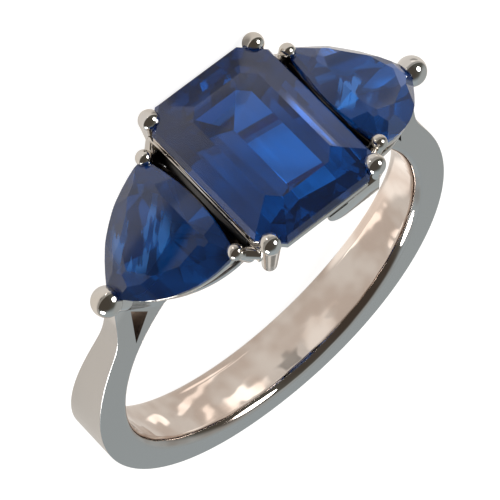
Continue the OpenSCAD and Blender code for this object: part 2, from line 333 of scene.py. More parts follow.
def resting():
    """The lean of the ring as it lies, the height of the hole's middle, and its place along Y."""
    band, head = band_sizes(), head_sizes()
    tip, bottom = centre_tip(), outer_radius(0)
    rise, step = tip.z + bottom, tip.y - band.width / 2
    lean = math.atan(step / rise) + math.asin(head.centre_claw / math.hypot(rise, step))
    drop = band.width / 2 * math.cos(lean) + bottom * math.sin(lean)
    table_edge = head.stone_length / 2 - TABLE_INSET
    head_reach = (head.stone_height + CENTRE_CROWN) * math.cos(lean) + table_edge * math.sin(lean)
    shank_reach = bottom * math.cos(lean) + band.width / 2 * math.sin(lean)
    return lean, drop, (head_reach - shank_reach) / 2


def lying():
    """The turn of the ring as it lies."""
    return Matrix.Rotation(math.pi / 2 - resting()[0], 4, "X") @ Matrix.Rotation(math.pi, 4, "Z")


def to_row():
    """Lays the ring on its side on the floor, in metres."""
    lean, drop, along = resting()
    return Matrix.Scale(MM, 4) @ Matrix.Translation((0, along, drop)) @ lying()


# Points of the metal nearer than this, in mm, or of a stone, in m, are one point.
METAL_MERGE = 1e-4
STONE_MERGE = 1e-7
# Edges flatter than the first lie inside one facet. Edges sharper than the second are rounded on
# the plate, and edges sharper than the third are shaded as edges.
SAME_FACET = math.radians(0.4)
BEVEL_FROM = math.radians(50)
SHARP_FROM = math.radians(30)
# How far cuts run out of what they cut, and joined pieces run into each other.
PAST = 1
OVERLAP = 0.02
# How finely the metal is made, and the rounding of the rails and the plate.
CORNER_STEPS = 6
ARC_STEPS = 24
WIRE_RINGS = 65
WIRE_SIDES = 48
EDGE_SEGMENTS = 3
EDGE = 0.05
# How far the points that hold a corner's rounding stand beyond its ends.
EASE = 0.03
# An outline's corner counts as no sharper than this when it is drawn in.
LEAST_OPEN = 0.3


def workshop():
    """The hidden collection that holds half made pieces."""
    found = bpy.data.collections.get(WORKSHOP)
    if not found:
        found = bpy.data.collections.new(WORKSHOP)
        bpy.context.scene.collection.children.link(found)
    return found


def new_object(name, mesh):
    made = bpy.data.objects.new(name, mesh)
    workshop().objects.link(made)
    return made


def object_from(name, points, edges=(), faces=()):
    mesh = bpy.data.meshes.new(name)
    mesh.from_pydata([tuple(p) for p in points], list(edges), list(faces))
    mesh.update()
    return new_object(name, mesh)


def drop_object(item):
    mesh = item.data
    bpy.data.objects.remove(item)
    bpy.data.meshes.remove(mesh)


def settle(item):
    """Turns an object and its modifiers into a plain mesh."""
    bpy.context.view_layer.update()
    graph = bpy.context.evaluated_depsgraph_get()
    mesh = bpy.data.meshes.new_from_object(item.evaluated_get(graph))
    old = item.data
    item.modifiers.clear()
    item.data = mesh
    bpy.data.meshes.remove(old)
    return item


def outwards(item):
    """Merges doubles, then points every face outwards."""
    work = bmesh.new()
    work.from_mesh(item.data)
    bmesh.ops.remove_doubles(work, verts=work.verts, dist=METAL_MERGE)
    bmesh.ops.recalc_face_normals(work, faces=work.faces)
    work.to_mesh(item.data)
    work.free()
    return item


def mirrored(item, scales):
    """Copies a piece to the places that the axis scales give, as one mesh of separate shells."""
    work = bmesh.new()
    for scale in scales:
        before = len(work.faces)
        copy = item.data.copy()
        copy.transform(Matrix.Diagonal((*scale, 1)))
        work.from_mesh(copy)
        bpy.data.meshes.remove(copy)
        if scale[0] * scale[1] * scale[2] < 0:
            work.faces.ensure_lookup_table()
            bmesh.ops.reverse_faces(work, faces=work.faces[before:])
    work.to_mesh(item.data)
    work.free()
    return item


BOTH_SIDES = ((1, 1, 1), (-1, 1, 1))
FOUR_CORNERS = ((1, 1, 1), (-1, 1, 1), (1, -1, 1), (-1, -1, 1))


def combine(base, others, operation):
    """Joins or cuts solids and leaves one plain mesh."""
    for other in others:
        step = base.modifiers.new(operation.lower(), "BOOLEAN")
        step.operation, step.solver, step.object = operation, "MANIFOLD", other
        settle(base)
        drop_object(other)
    return base


SMOOTH = {"interpolation_type": "SMOOTHSTEP"}
COLOURS = {"data_type": "RGBA"}


def add(tree, kind, inputs=(), **settings):
    """Adds a node with its settings and inputs, which go by order or by name.

    A node among the inputs stands for its first output in use."""
    node = tree.nodes.new(kind)
    for name, value in settings.items():
        setattr(node, name, value)
    for key, value in inputs.items() if isinstance(inputs, dict) else enumerate(inputs):
        if isinstance(value, bpy.types.Node):
            value = next(socket for socket in value.outputs if socket.enabled)
        if isinstance(value, bpy.types.NodeSocket):
            tree.links.new(value, node.inputs[key])
        else:
            node.inputs[key].default_value = value
    return node


def geometry_tree(name, sizes):
    """Starts a tree that takes a geometry and the named sizes, each of a kind of socket."""
    tree = bpy.data.node_groups.new(name, "GeometryNodeTree")
    tree.is_modifier = True
    for label, kind in {"Geometry": "Geometry", **sizes}.items():
        tree.interface.new_socket(label, in_out="INPUT", socket_type="NodeSocket" + kind)
    tree.interface.new_socket("Geometry", in_out="OUTPUT", socket_type="NodeSocketGeometry")
    return tree, tree.nodes.new("NodeGroupInput").outputs


def finish_tree(tree, made):
    """Ends a tree in smooth plain geometry with the metal on it."""
    smooth = add(tree, "GeometryNodeSetShadeSmooth", [made])
    real = add(tree, "GeometryNodeRealizeInstances", [smooth])
    coated = add(tree, "GeometryNodeSetMaterial", {"Geometry": real, "Material": white_gold()})
    add(tree, "NodeGroupOutput", [coated])
    return tree


def run_tree(item, build, values):
    """Gives an object a tree with its named values and turns the result into a plain mesh."""
    tree = bpy.data.node_groups.get(build.__name__) or build(build.__name__)
    step = item.modifiers.new(tree.name, "NODES")
    step.node_group = tree
    for socket in tree.interface.items_tree:
        if socket.in_out == "INPUT" and socket.name in values:
            step[socket.identifier] = values[socket.name]
    return settle(item)


def section_loft(name):
    """Lofts a rounded section through the stations of a path that runs round the finger hole.

    The incoming points are the stations: an angle, and the radius and half width of the inside
    and the outside there. The section is an object whose points say whether they are outside, to
    which side they reach, how far off the sharp corner its rounding takes them, and their ease."""
    tree, given = geometry_tree(name, {
        "Section": "Object", "Stations": "Int", "Section points": "Int",
        "Inner rounding": "Vector", "Outer rounding": "Vector",
    })
    index = add(tree, "GeometryNodeInputIndex")
    turns = add(tree, "ShaderNodeMath", [index, given["Section points"]], operation="DIVIDE")
    along = add(tree, "ShaderNodeMath", [turns], operation="FLOOR")
    around = add(tree, "ShaderNodeMath", [index, given["Section points"]], operation="MODULO")
    section = add(tree, "GeometryNodeObjectInfo", [given["Section"]]).outputs["Geometry"]
    read = {}
    for key, kind, source, place in (
        ("angle", "FLOAT", given["Geometry"], along),
        ("inner", "FLOAT_VECTOR", given["Geometry"], along),
        ("outer", "FLOAT_VECTOR", given["Geometry"], along),
        ("outside", "FLOAT", section, around),
        ("reach", "FLOAT_VECTOR", section, around),
        ("off", "FLOAT_VECTOR", section, around),
        ("ease", "FLOAT_VECTOR", section, around),
    ):
        value = add(tree, "GeometryNodeInputNamedAttribute", [key], data_type=kind)
        read[key] = add(tree, "GeometryNodeSampleIndex", [source, value, place], data_type=kind)

    corner = add(tree, "ShaderNodeMix", {
        "Factor": read["outside"], "A": read["inner"], "B": read["outer"],
    }, data_type="VECTOR")
    rounding = add(tree, "ShaderNodeMix", {
        "Factor": read["outside"], "A": given["Inner rounding"], "B": given["Outer rounding"],
    }, data_type="VECTOR")
    spot = add(tree, "ShaderNodeVectorMath", [corner, read["reach"], read["ease"]], operation="MULTIPLY_ADD")
    spot = add(tree, "ShaderNodeVectorMath", [read["off"], rounding, spot], operation="MULTIPLY_ADD")
    radius, wide = add(tree, "ShaderNodeSeparateXYZ", [spot]).outputs[:2]
    sine = add(tree, "ShaderNodeMath", [read["angle"]], operation="SINE")
    cosine = add(tree, "ShaderNodeMath", [read["angle"]], operation="COSINE")
    across = add(tree, "ShaderNodeMath", [radius, sine], operation="MULTIPLY")
    down = add(tree, "ShaderNodeMath", [radius, cosine], operation="MULTIPLY")
    up = add(tree, "ShaderNodeMath", [0.0, down], operation="SUBTRACT")
    place = add(tree, "ShaderNodeCombineXYZ", [across, wide, up])
    grid = add(tree, "GeometryNodeMeshGrid", {
        "Vertices X": given["Stations"], "Vertices Y": given["Section points"],
    })
    moved = add(tree, "GeometryNodeSetPosition", {"Geometry": grid, "Position": place})
    merged = add(tree, "GeometryNodeMergeByDistance", {"Geometry": moved, "Distance": METAL_MERGE})
    return finish_tree(tree, merged)


def round_ended_wire(name):
    """Sweeps a round wire from each incoming point along its "run", with a ball at either end."""
    tree, given = geometry_tree(name, {
        "Length": "Float", "Foot radius": "Float", "Stem radius": "Float", "Tip radius": "Float",
        "Rings": "Int", "Sides": "Int",
    })
    length, foot, stem, tip = (given[key] for key in ("Length", "Foot radius", "Stem radius", "Tip radius"))

    # Rings lie close together at both ends, where the balls curve most.
    last = add(tree, "ShaderNodeMath", [given["Rings"], 1.0], operation="SUBTRACT")
    share = add(tree, "ShaderNodeMath", [add(tree, "GeometryNodeInputIndex"), last], operation="DIVIDE")
    turn = add(tree, "ShaderNodeMath", [share, math.pi], operation="MULTIPLY")
    swing = add(tree, "ShaderNodeMath", [turn], operation="COSINE")
    swing = add(tree, "ShaderNodeMath", [1.0, swing], operation="SUBTRACT")
    eased = add(tree, "ShaderNodeMath", [swing, 0.5], operation="MULTIPLY")
    ends = add(tree, "ShaderNodeMath", [foot, tip], operation="ADD")
    whole = add(tree, "ShaderNodeMath", [length, ends], operation="ADD")
    height = add(tree, "ShaderNodeMath", [eased, whole], operation="MULTIPLY")
    height = add(tree, "ShaderNodeMath", [height, foot], operation="SUBTRACT")

    # Between the balls' middles the stem runs from the foot's radius to its own.
    along = add(tree, "ShaderNodeMath", [height, length], operation="DIVIDE")
    gain = add(tree, "ShaderNodeMath", [stem, foot], operation="SUBTRACT")
    gain = add(tree, "ShaderNodeMath", [along, gain], operation="MULTIPLY")
    radius = add(tree, "ShaderNodeMath", [foot, gain], operation="ADD")
    above = add(tree, "ShaderNodeMath", [height, 0.0], operation="GREATER_THAN")
    below = add(tree, "ShaderNodeMath", [height, length], operation="LESS_THAN")
    for limit in (above, below):
        radius = add(tree, "ShaderNodeMath", [radius, limit], operation="MULTIPLY")
    for middle, ball in ((0.0, foot), (length, tip)):
        off = add(tree, "ShaderNodeMath", [height, middle], operation="SUBTRACT")
        squares = [add(tree, "ShaderNodeMath", [value, value], operation="MULTIPLY") for value in (ball, off)]
        rest = add(tree, "ShaderNodeMath", squares, operation="SUBTRACT")
        rest = add(tree, "ShaderNodeMath", [rest, 0.0], operation="MAXIMUM")
        rest = add(tree, "ShaderNodeMath", [rest], operation="SQRT")
        radius = add(tree, "ShaderNodeMath", [radius, rest], operation="MAXIMUM")
    radius = add(tree, "ShaderNodeMath", [radius, METAL_MERGE / 10], operation="MAXIMUM")

    line = add(tree, "GeometryNodeMeshLine", [given["Rings"]], mode="OFFSET")
    curve = add(tree, "GeometryNodeMeshToCurve", [line])
    place = add(tree, "ShaderNodeCombineXYZ", {"Z": height})
    placed = add(tree, "GeometryNodeSetPosition", {"Geometry": curve, "Position": place})
    circle = add(tree, "GeometryNodeCurvePrimitiveCircle", {"Resolution": given["Sides"], "Radius": 1.0})
    swept = add(tree, "GeometryNodeCurveToMesh", {
        "Curve": placed, "Profile Curve": circle, "Scale": radius, "Fill Caps": True,
    })
    closed = add(tree, "GeometryNodeMergeByDistance", {"Geometry": swept, "Distance": METAL_MERGE})
    run = add(tree, "GeometryNodeInputNamedAttribute", ["run"], data_type="FLOAT_VECTOR")
    facing = add(tree, "FunctionNodeAlignRotationToVector", {"Vector": run}, axis="Z")
    points = add(tree, "GeometryNodeMeshToPoints", [given["Geometry"]])
    wires = add(tree, "GeometryNodeInstanceOnPoints", {
        "Points": points, "Instance": closed, "Rotation": facing,
    })
    return finish_tree(tree, wires)


def rail_along(name):
    """Runs a rounded rail along the incoming outline."""
    tree, given = geometry_tree(name, {"Thickness": "Float", "Height": "Float", "Rounding": "Float"})
    path = add(tree, "GeometryNodeMeshToCurve", [given["Geometry"]])
    upright = add(tree, "GeometryNodeSetCurveNormal", [path], mode="Z_UP")
    block = add(tree, "GeometryNodeCurvePrimitiveQuadrilateral", [given["Thickness"], given["Height"]])
    rounded = add(tree, "GeometryNodeFilletCurve", {
        "Curve": block, "Count": EDGE_SEGMENTS, "Radius": given["Rounding"],
    }, mode="POLY")
    swept = add(tree, "GeometryNodeCurveToMesh", {"Curve": upright, "Profile Curve": rounded})
    return finish_tree(tree, swept)


def name_values(item, columns):
    """Writes named numbers or vectors onto an object's points."""
    for name, values in columns.items():
        if hasattr(values[0], "__len__"):
            made = item.data.attributes.new(name, "FLOAT_VECTOR", "POINT")
            made.data.foreach_set("vector", [part for value in values for part in value])
        else:
            item.data.attributes.new(name, "FLOAT", "POINT").data.foreach_set("value", values)


def section_object():
    """The band's section: four rounded corners, each held by a point just beyond either end."""
    rows = []
    for corner, (out, wide) in enumerate(((1, 1), (-1, 1), (-1, -1), (1, -1))):
        for step in range(CORNER_STEPS + 1):
            turn = math.pi / 2 * (corner + step / CORNER_STEPS)
            off = (math.cos(turn) - out, math.sin(turn) - wide, 0)
            for ease in {0: (-EASE, 0), CORNER_STEPS: (0, EASE)}.get(step, (0,)):
                eased = (-ease * math.sin(turn), ease * math.cos(turn), 0)
                rows.append((max(0, out), (1, wide, 0), off, eased))
    rows.append(rows[0])
    item = object_from("band_section", [(0, 0, i) for i in range(len(rows))])
    name_values(item, dict(zip(("outside", "reach", "off", "ease"), zip(*rows))))
    return item


def shank_object():
    """The tapered shank, its shoulders and the gallery, with the windows and the opening cut."""
    s = band_sizes()
    steps = round(180 / STATION_STEP)
    half = sorted({*(i * STATION_STEP for i in range(steps + 1)), shoulder_angle(), GALLERY_ANGLE})
    angles = [-a for a in reversed(half[1:])] + half
    inner, outer = zip(*(station(abs(a)) for a in angles))
    shank = object_from("shank", [(0, 0, i) for i in range(len(angles))])
    name_values(shank, {"angle": [math.radians(a) for a in angles], "inner": inner, "outer": outer})
    section = section_object()
    run_tree(shank, section_loft, {
        "Section": section, "Stations": len(angles), "Section points": len(section.data.vertices),
        "Inner rounding": (s.inner_edge, s.inner_roll, 0.0), "Outer rounding": (s.edge, s.edge, 0.0),
    })
    drop_object(section)
    window = prism("shoulder_window", [
        (s.window_out, s.window_high), (s.window_out, s.window_low),
        (s.window_out - s.window_width, s.window_high - WINDOW_SLANT),
    ], -s.width, s.width)
    return combine(outwards(shank), [mirrored(window, BOTH_SIDES), gallery_opening()], "DIFFERENCE")


def gallery_opening():
    """What is cut from the gallery between its two rails."""
    s = band_sizes()
    half = s.gallery_width / 2 - s.gallery_rail
    across = [OPENING_END * (i / OPENING_STEPS - 1) for i in range(2 * OPENING_STEPS + 1)]
    edge = [(x, half * spread(x, OPENING_END)) for x in across]
    outline = [(x, -y) for x, y in edge] + edge[-2:0:-1]
    item = prism("opening", outline, -s.hole_radius - PAST, -s.hole_radius / 2)
    item.data.transform(Matrix.Rotation(-math.pi / 2, 4, "X"))
    return item


def prism(name, outline, y0, y1):
    """A solid between two depths, from an outline across and up."""
    count = len(outline)
    points = [(x, y, z) for y in (y0, y1) for x, z in outline]
    ends = [tuple(range(count)), tuple(range(count, 2 * count))]
    sides = [(i, (i + 1) % count, count + (i + 1) % count, count + i) for i in range(count)]
    return outwards(object_from(name, points, (), ends + sides))


def wires(name, places, foot, stem, tip):
    """Round ended wires, each from a foot to a tip. They all have one length."""
    item = object_from(name, [a for a, b in places])
    runs = [b - a for a, b in places]
    name_values(item, {"run": runs})
    run_tree(item, round_ended_wire, {
        "Length": runs[0].length, "Foot radius": foot, "Stem radius": stem, "Tip radius": tip,
        "Rings": WIRE_RINGS, "Sides": WIRE_SIDES,
    })
    return outwards(item)


def at_corners(a, b, places=FOUR_CORNERS):
    return [(Vector(scale) * a, Vector(scale) * b) for scale in places]


def claw_objects():
    """Claws with rounded tips, and the struts between neighbouring claws."""
    band, s = band_sizes(), head_sizes()
    small, place = small_tip(), on_side_stone()
    local_tip = Vector((small.x - s.side_out, small.y, SMALL_TIP[2]))
    local_foot = local_tip - Vector((0, 0, s.lower_rail_drop + s.rail_height))
    small_stem, tip_stem = s.small_claw - SMALL_NECK, s.tip_claw - TIP_NECK
    tip_foot = beside((band.shoulder_out - tip_stem, 0, band.shoulder_top), TIP_CLAW_FOOT)
    struts = at_corners(small - STRUT_START, centre_tip() - STRUT_END)
    return [
        wires("centre_claws", at_corners(centre_foot(), centre_tip()), s.centre_claw_foot,
              s.centre_claw - CENTRE_NECK, s.centre_claw),
        wires("small_claws", at_corners(place @ local_foot, place @ local_tip), small_stem, small_stem,
              s.small_claw),
        wires("tip_claws", at_corners(tip_foot, shoulder_tip(), BOTH_SIDES), tip_stem, tip_stem, s.tip_claw),
        wires("struts", struts, STRUT_RADIUS, STRUT_RADIUS, STRUT_RADIUS),
    ]


def arc_edge(a, b, bulge):
    """Points of a flat arc from a towards b, without b."""
    along = b - a
    chord = along.length
    along = along / chord
    out = Vector((along.y, -along.x, 0))
    radius = (chord * chord / 4 + bulge * bulge) / (2 * bulge)
    half = math.asin(chord / 2 / radius)
    middle = (a + b) / 2 - out * (radius - bulge)
    turns = [half * (2 * i / ARC_STEPS - 1) for i in range(ARC_STEPS)]
    return [middle + radius * (along * math.sin(t) + out * math.cos(t)) for t in turns]


def side_outline(inset):
    """Outline of a side stone, drawn in by a distance."""
    s = head_sizes()
    a, b, c = (Vector(p) for p in ((0, -s.side_chord / 2, 0), (side_reach(), 0, 0), (0, s.side_chord / 2, 0)))
    edges = ((a, b, s.side_bulge), (b, c, s.side_bulge), (c, a, s.side_inner_bulge))
    return inset_outline([point for edge in edges for point in arc_edge(*edge)], inset)


def inset_outline(points, inset):
    """Moves each corner of an anticlockwise outline in, along its half angle.

    At a very sharp corner that move is kept short."""
    moved = []
    for i, point in enumerate(points):
        before = (point - points[i - 1]).normalized()
        after = (points[(i + 1) % len(points)] - point).normalized()
        half = (before + after).normalized()
        moved.append(point + Vector((-half.y, half.x, 0)) * inset / max(LEAST_OPEN, half.dot(before)))
    return moved


def octagon(inset):
    """The centre stone's outline, drawn in by a distance."""
    s = head_sizes()
    x, y = s.stone_width / 2 - inset, s.stone_length / 2 - inset
    c = CORNER_CUT * x
    corners = (
        (x, c - y), (x, y - c), (x - c, y), (c - x, y), (-x, y - c), (-x, c - y), (c - x, -y), (x - c, -y),
    )
    return [Vector((*corner, 0)) for corner in corners]


def rail(name, outline, height, thickness, tall):
    """A closed rail along an outline at a height."""
    points = [Vector((p.x, p.y, height)) for p in outline]
    loop = [(i, (i + 1) % len(points)) for i in range(len(points))]
    item = object_from(name, points, loop)
    run_tree(item, rail_along, {"Thickness": thickness, "Height": tall, "Rounding": EDGE})
    return outwards(item)


# The walls stand this far inside the centre stone's edge, and the plate inside its rail.
WALL_IN = 0.01
PLATE_IN = 0.005
# The plate's round corner reaches as far as its slot, which starts near the middle.
PLATE_CORNER = 1.1
PLATE_STEPS = 16
SLOT_START = 0.08
SLOT_HEIGHT = 0.12


def basket_objects():
    """Rails under the stones, the walls beside the side stones and the slotted plate."""
    s = head_sizes()
    low = rail_low()
    centre = rail("centre_rail", octagon(s.rail / 2), low + s.rail_height / 2, s.rail, s.rail_height)
    place = on_side_stone()
    outline = side_outline(s.rail / 2)
    top = rail("side_rail", outline, -GIRDLE / 2 - RAIL_GAP - s.rail_height / 2, s.rail, s.rail_height)
    top.data.transform(place)
    lower = rail("lower_side_rail", outline, s.rail_height / 2, s.rail, s.rail_height)
    drop = Matrix.Translation((0, 0, -s.lower_rail_drop - s.rail_height))
    lower.data.transform(place @ drop @ Matrix.Rotation(-LOWER_RAIL_RISE, 4, "Y"))

    reach = centre_foot().y
    out, bottom, top_edge = s.stone_width / 2 - WALL_IN, low - s.wall, low + OVERLAP
    wall = prism("wall", [
        (out - s.rail, bottom), (out, bottom), (out, top_edge), (out - s.rail, top_edge),
    ], -reach, reach)
    return [centre, *(mirrored(item, BOTH_SIDES) for item in (top, lower, wall)), gallery_plate(low)]


def gallery_plate(low):
    """The plate beside one front claw, with a round corner and a slot under the rail."""
    s = head_sizes()
    turns = [math.pi * (1 + i / PLATE_STEPS / 2) for i in range(PLATE_STEPS + 1)]
    outline = [(PLATE_CORNER * (1 + math.cos(t)), low + s.wall * math.sin(t)) for t in turns]
    outline += [(centre_tip().x, low - s.wall), (centre_tip().x, low + OVERLAP), (0, low + OVERLAP)]
    front = PLATE_IN - s.stone_length / 2
    plate = prism("gallery_plate", outline, front, front + s.rail - 2 * PLATE_IN)
    bevel = plate.modifiers.new("rounded", "BEVEL")
    bevel.width, bevel.segments, bevel.angle_limit = EDGE, EDGE_SEGMENTS, BEVEL_FROM
    settle(plate)
    bottom = low - SLOT_HEIGHT
    slot = prism("slot", [
        (SLOT_START, bottom), (PLATE_CORNER, bottom), (PLATE_CORNER, low), (SLOT_START, low),
    ], front - PAST, front + PAST)
    return combine(plate, [slot], "DIFFERENCE")


STONES = ("centre_stone", "left_side_stone", "right_side_stone")


def stone_copy(node):
    """A clean copy of a stone's solid: flat faces, each one facet."""
    item = new_object(node + "_cut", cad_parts[node].data.copy())
    work = bmesh.new()
    work.from_mesh(item.data)
    bmesh.ops.remove_doubles(work, verts=work.verts, dist=STONE_MERGE)
    bmesh.ops.scale(work, vec=(1 / MM,) * 3, verts=work.verts)
    bmesh.ops.recalc_face_normals(work, faces=work.faces)
    bmesh.ops.dissolve_limit(work, angle_limit=SAME_FACET, verts=work.verts, edges=work.edges)
    for face in work.faces:
        face.smooth = False
    work.to_mesh(item.data)
    work.free()
    item.data.materials.clear()
    return item


def seat_cutter(node):
    """A stone grown by the seat gap, in the ring's own frame."""
    item = stone_copy(node)
    item.data.transform(to_row().inverted() @ Matrix.Scale(MM, 4))
    low = Vector([min(v.co[i] for v in item.data.vertices) for i in range(3)])
    high = Vector([max(v.co[i] for v in item.data.vertices) for i in range(3)])
    middle, grow = (low + high) / 2, head_sizes().gap
    scale = Matrix.Diagonal((*[(b - a + 2 * grow) / (b - a) for a, b in zip(low, high)], 1))
    item.data.transform(Matrix.Translation(middle) @ scale @ Matrix.Translation(-middle))
    return item


def new_material(name):
    made = bpy.data.materials.new(name)
    made.use_nodes = True
    made.node_tree.nodes.clear()
    return made, made.node_tree


def ring_frame(vector):
    """Inputs of a texture mapping that turns a place on the lying ring into the ring's own, in mm."""
    lean, drop, along = resting()
    return {
        "Vector": vector, "Location": (0, along * MM, drop * MM), "Rotation": lying().to_euler(),
        "Scale": (MM, MM, MM),
    }


# Sizes of the metal's patterns in mm. Real polishing lines are finer than a picture can show. These
# are 0.1 mm apart, a fifth of their length.
PATCHES = 2.2
LINES = 0.5
LINE_STRETCH = (1, 5, 1)
SPECKS = 0.16
WAVES = 1.3
WAVE_DEPTH = 0.05
WAVE_SHARES = {"claws": 0.12, "flats": 0.02, "inside": 1.0}
# Values of the patches between which the plating goes from sound to rubbed.
RUBBED = (0.38, 0.62)
# The head ends and the band begins between these distances from the middle of the hole.
BAND_END = (11.6, 11.0)
# Cosines between which the band's surface starts to be its outside, and its inside.
FACING = ((0.25, 0.75), (-0.25, -0.75))
# Where the painted shade in the gaps starts and is full: past the side stones' inner corners, short
# of the front and back claws' feet, below the centre rail, and up from a height.
GAP_SHADE_ACROSS = (0.15, -0.05)
GAP_SHADE_ALONG = (-0.5, -0.9)
GAP_SHADE_BELOW = (0.05, -0.1)
GAP_SHADE_ABOVE = (10.2, 10.6)
GAP_ROUGHNESS = 0.35


def white_gold():
    """Cast, filed and polished white gold under a rhodium plating.

    To the eye the claws and the inside are bright mirrors with a faint warmth, the flat sides are
    a little less clear, and the outside has a soft satin. Rubbed patches and fine polishing lines
    keep its reflections from being still."""
    found = bpy.data.materials.get("rhodium_plated_white_gold")
    if found:
        return found
    made, tree = new_material("rhodium_plated_white_gold")
    look = bpy.context.scene.ring_finish
    coordinates = add(tree, "ShaderNodeTexCoord").outputs
    place = add(tree, "ShaderNodeMapping", ring_frame(coordinates["Object"]), vector_type="TEXTURE")
    normal = add(tree, "ShaderNodeMapping", {
        "Vector": coordinates["Normal"], "Rotation": lying().to_euler(),
    }, vector_type="TEXTURE")

    # The shank's inside faces the middle of the hole, its outside faces away and its flats neither.
    flat = add(tree, "ShaderNodeVectorMath", [place, (1, 0, 1)], operation="MULTIPLY")
    radius = add(tree, "ShaderNodeVectorMath", [flat], operation="LENGTH")
    away = add(tree, "ShaderNodeVectorMath", [flat], operation="NORMALIZE")
    facing = add(tree, "ShaderNodeVectorMath", [away, normal], operation="DOT_PRODUCT")
    on_band = add(tree, "ShaderNodeMapRange", [radius, *BAND_END], **SMOOTH)
    outside, inside = (add(tree, "ShaderNodeMapRange", [facing, *ends], **SMOOTH) for ends in FACING)
    outside, inside = (
        add(tree, "ShaderNodeMath", [side, on_band], operation="MULTIPLY") for side in (outside, inside))
    both = add(tree, "ShaderNodeMath", [outside, inside], operation="ADD")
    flats = add(tree, "ShaderNodeMath", [on_band, both], operation="SUBTRACT")

    patches = add(tree, "ShaderNodeTexNoise", {"Vector": place, "Scale": 1 / PATCHES})
    stretched = add(tree, "ShaderNodeVectorMath", [place, LINE_STRETCH], operation="MULTIPLY")
    lines = add(tree, "ShaderNodeTexNoise", {"Vector": stretched, "Scale": 1 / LINES, "Detail": 4.0})
    specks = add(tree, "ShaderNodeTexNoise", {"Vector": place, "Scale": 1 / SPECKS})
    waves = add(tree, "ShaderNodeTexNoise", {"Vector": place, "Scale": 1 / WAVES, "Detail": 1.0})

    # No polishing mop reaches the narrow gaps beside the centre stone, so they stay rough. Their dark
    # colour is painted shade.
    x, y, z = add(tree, "ShaderNodeSeparateXYZ", [place]).outputs
    x, y = (add(tree, "ShaderNodeMath", [value], operation="ABSOLUTE") for value in (x, y))
    gap_shade = 1.0
    for value, place_there, ends in (
        (x, head_sizes().side_out, GAP_SHADE_ACROSS), (y, centre_foot().y, GAP_SHADE_ALONG),
        (z, rail_low(), GAP_SHADE_BELOW), (z, 0, GAP_SHADE_ABOVE),
    ):
        share = add(tree, "ShaderNodeMapRange", [value, *(place_there + end for end in ends)], **SMOOTH)
        gap_shade = add(tree, "ShaderNodeMath", [gap_shade, share], operation="MULTIPLY")

    rub = add(tree, "ShaderNodeMapRange", [patches, *RUBBED], **SMOOTH)
    bare = add(tree, "ShaderNodeMix", {
        "Factor": rub, "A": look.metal_inside, "B": look.metal_worn,
    }, **COLOURS)
    tone = look.metal
    # The flats and the inside are darker partly for their finish and wear, and partly as painted shade.
    for share, colour_there in (
        (rub, look.metal_warm), (outside, look.metal_satin), (flats, look.metal_flat), (inside, bare),
        (gap_shade, look.gap_shade),
    ):
        tone = add(tree, "ShaderNodeMix", {"Factor": share, "A": tone, "B": colour_there}, **COLOURS)

    # The claws are polished brightest. Each row gives a pattern's ends and the roughness at them.
    polish = add(tree, "ShaderNodeMapRange", [lines, 0.3, 0.7, 0.015, 0.05], **SMOOTH)
    for share, pattern, *ends in (
        (inside, patches, 0.35, 0.65, 0.02, 0.09),
        (flats, specks, 0.35, 0.7, 0.10, 0.2),
        (outside, specks, 0.3, 0.7, 0.22, 0.26),
    ):
        rough = add(tree, "ShaderNodeMapRange", [pattern, *ends], **SMOOTH)
        polish = add(tree, "ShaderNodeMix", {"Factor": share, "A": polish, "B": rough})
    polish = add(tree, "ShaderNodeMix", {"Factor": gap_shade, "A": polish, "B": GAP_ROUGHNESS})

    # Hand polishing leaves the surface very slightly wavy, most of all inside.
    depth = WAVE_SHARES["claws"]
    for share, there in ((flats, WAVE_SHARES["flats"]), (inside, WAVE_SHARES["inside"])):
        depth = add(tree, "ShaderNodeMix", {"Factor": share, "A": depth, "B": there})
    height = add(tree, "ShaderNodeMath", [waves, depth], operation="MULTIPLY")
    bump = add(tree, "ShaderNodeBump", {"Height": height, "Strength": 0.6, "Distance": WAVE_DEPTH * MM})
    shader = add(tree, "ShaderNodeBsdfPrincipled", {
        "Base Color": tone, "Roughness": polish, "Normal": bump, "Metallic": 1.0,
    })
    add(tree, "ShaderNodeOutputMaterial", {"Surface": shader})
    return made


SAPPHIRE_IOR = 1.77
# A wave of this scale in mm repeats every 1.45 mm across the growth bands, so each is about 0.7 mm
# wide, and every second one is this much paler.
GROWTH_SCALE = 4
GROWTH_PALER = 1.35
# Silk needles lie along one direction of the crystal, in streaks about 0.4 mm wide.
SILK_WIDTH = 0.4
SILK_STRETCH = (1, 0.12, 0.4)
SILK_TURN = math.radians(50)
SILK_START = (0.52, 0.6)
SILK_CLOUDS = (
    # middle in the ring's own frame, and reach, in mm
    ((-6.4, 0.5, 11.6), 1.9),
    ((4.7, -0.2, 12.4), 1.25),
)
CLOUD_CORE = 0.6


